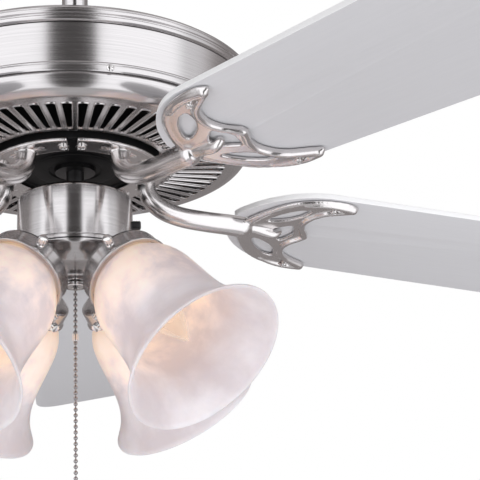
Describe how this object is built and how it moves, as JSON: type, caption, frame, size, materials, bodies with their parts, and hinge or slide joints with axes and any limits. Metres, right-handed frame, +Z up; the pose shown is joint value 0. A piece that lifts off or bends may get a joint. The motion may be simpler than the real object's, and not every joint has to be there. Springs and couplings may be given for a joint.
{
  "type": "ceiling fan with light",
  "caption": "Downrod ceiling fan with a vented round motor housing, pitched flat blades on openwork irons and a light kit of tilted bell shades.",
  "frame": {"origin": "centre of the hanger bracket's top face, which lies against the ceiling", "axes": "+Z up into the ceiling and along the downrod and motor axis; -Y towards the viewer's side; lamps at 45, 135, 225 and 315 degrees from +X"},
  "size_m": [1.2812, 1.2338, 0.5413],
  "materials": {
    "nickel": "satin brushed nickel plate",
    "steel": "plain zinc-plated steel",
    "black_iron": "satin black paint",
    "rubber_black": "matte",
    "black_plastic": "satin",
    "copper_wire": "lacquered copper windings",
    "white_plastic": "heat-resistant lamp holder",
    "blade_board": "smooth pale grey laminate",
    "alabaster": "frosted swirl alabaster glass",
    "bulb_glass": "clear, lit"
  },
  "bodies": {
    "ceiling_mount": {"hanger_bracket": "steel", "canopy": "nickel", "canopy_screw_1": "nickel", "canopy_screw_2": "nickel"},
    "ball": {"hanger_ball": "rubber_black", "ball_pin": "steel"},
    "fan_frame": {"downrod": "nickel", "yoke": "steel", "clevis_pin": "steel", "coupling_cover": "nickel", "motor_shaft": "steel", "housing_top": "nickel", "housing_band": "nickel", "housing_pan": "nickel", "housing_screw_1": "nickel", "housing_screw_2": "nickel", "housing_screw_3": "nickel", "stator_core": "steel", "winding_upper": "copper_wire", "winding_lower": "copper_wire", "switch_cup": "nickel", "cup_plate": "steel", "capacitor": "black_plastic", "reverse_switch": "black_plastic", "pull_switch": "black_plastic", "light_body": "nickel", "chain_nozzle": "nickel", "fitter_1": "nickel", "socket_1": "white_plastic", "bulb_1": "bulb_glass", "shade_1": "alabaster", "fitter_2": "nickel", "socket_2": "white_plastic", "bulb_2": "bulb_glass", "shade_2": "alabaster", "fitter_3": "nickel", "socket_3": "white_plastic", "bulb_3": "bulb_glass", "shade_3": "alabaster", "fitter_4": "nickel", "socket_4": "white_plastic", "bulb_4": "bulb_glass", "shade_4": "alabaster"},
    "rotor": {"rotor_shell": "black_iron", "bearing_upper": "steel", "bearing_lower": "steel", "blade_iron_1": "nickel", "blade_1": "blade_board", "blade_iron_2": "nickel", "blade_2": "blade_board", "blade_iron_3": "nickel", "blade_3": "blade_board", "blade_iron_4": "nickel", "blade_4": "blade_board", "blade_iron_5": "nickel", "blade_5": "blade_board"},
    "reverse_lever": {"reverse_knob": "black_plastic"},
    "light_chain": {"pull_chain": "nickel", "chain_pendant": "nickel"}
  },
  "joints": [
    {"name": "hanger_tilt_x", "type": "hinge", "parent": "ceiling_mount", "child": "ball", "pos_m": [0, 0, -0.034], "axis": [1, 0, 0], "range_deg": [-8, 8]},
    {"name": "hanger_tilt_y", "type": "hinge", "parent": "ball", "child": "fan_frame", "pos_m": [0, 0, -0.034], "axis": [0, 1, 0], "range_deg": [-8, 8]},
    {"name": "fan_spin", "type": "hinge", "parent": "fan_frame", "child": "rotor", "pos_m": [0, 0, -0.21], "axis": [0, 0, 1], "continuous": true},
    {"name": "reverse_slide", "type": "slide", "parent": "fan_frame", "child": "reverse_lever", "axis": [0, 0, -1], "range_m": [0, 0.0056]},
    {"name": "chain_pull", "type": "slide", "parent": "fan_frame", "child": "light_chain", "axis": [0, 0, -1], "range_m": [0, 0.01], "stiffness_N_per_m": 250, "springref_m": -0.004}
  ]
}
